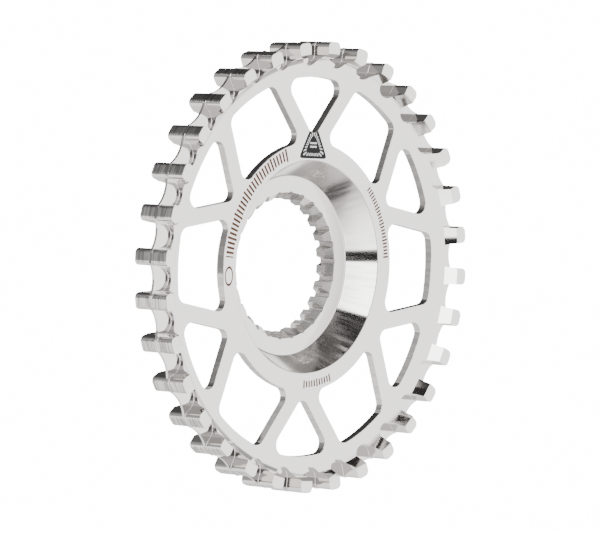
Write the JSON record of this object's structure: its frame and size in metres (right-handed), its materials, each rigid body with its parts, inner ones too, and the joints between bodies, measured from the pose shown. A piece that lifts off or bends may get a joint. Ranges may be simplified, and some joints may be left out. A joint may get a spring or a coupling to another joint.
{
  "type": "belt drive sprocket",
  "caption": "Steel rear sprocket for a toothed bicycle drive belt, with wide axial teeth, a thin centre flange, a windowed plate with paired spokes and a splined, conically recessed hub.",
  "frame": {"origin": "centre of the back face of the hub, on the axis of rotation; the sprocket lies on this face", "axes": "+Z along the axis of rotation, out of the recessed front side; +X through the middle of a wide window; right-handed"},
  "size_m": [0.1108, 0.1108, 0.0163],
  "materials": {
    "steel": "fine-turned stainless steel with a soft sheen on the faces and streaked, brighter walls"
  },
  "bodies": {
    "root": {"sprocket": "steel"}
  },
  "joints": []
}
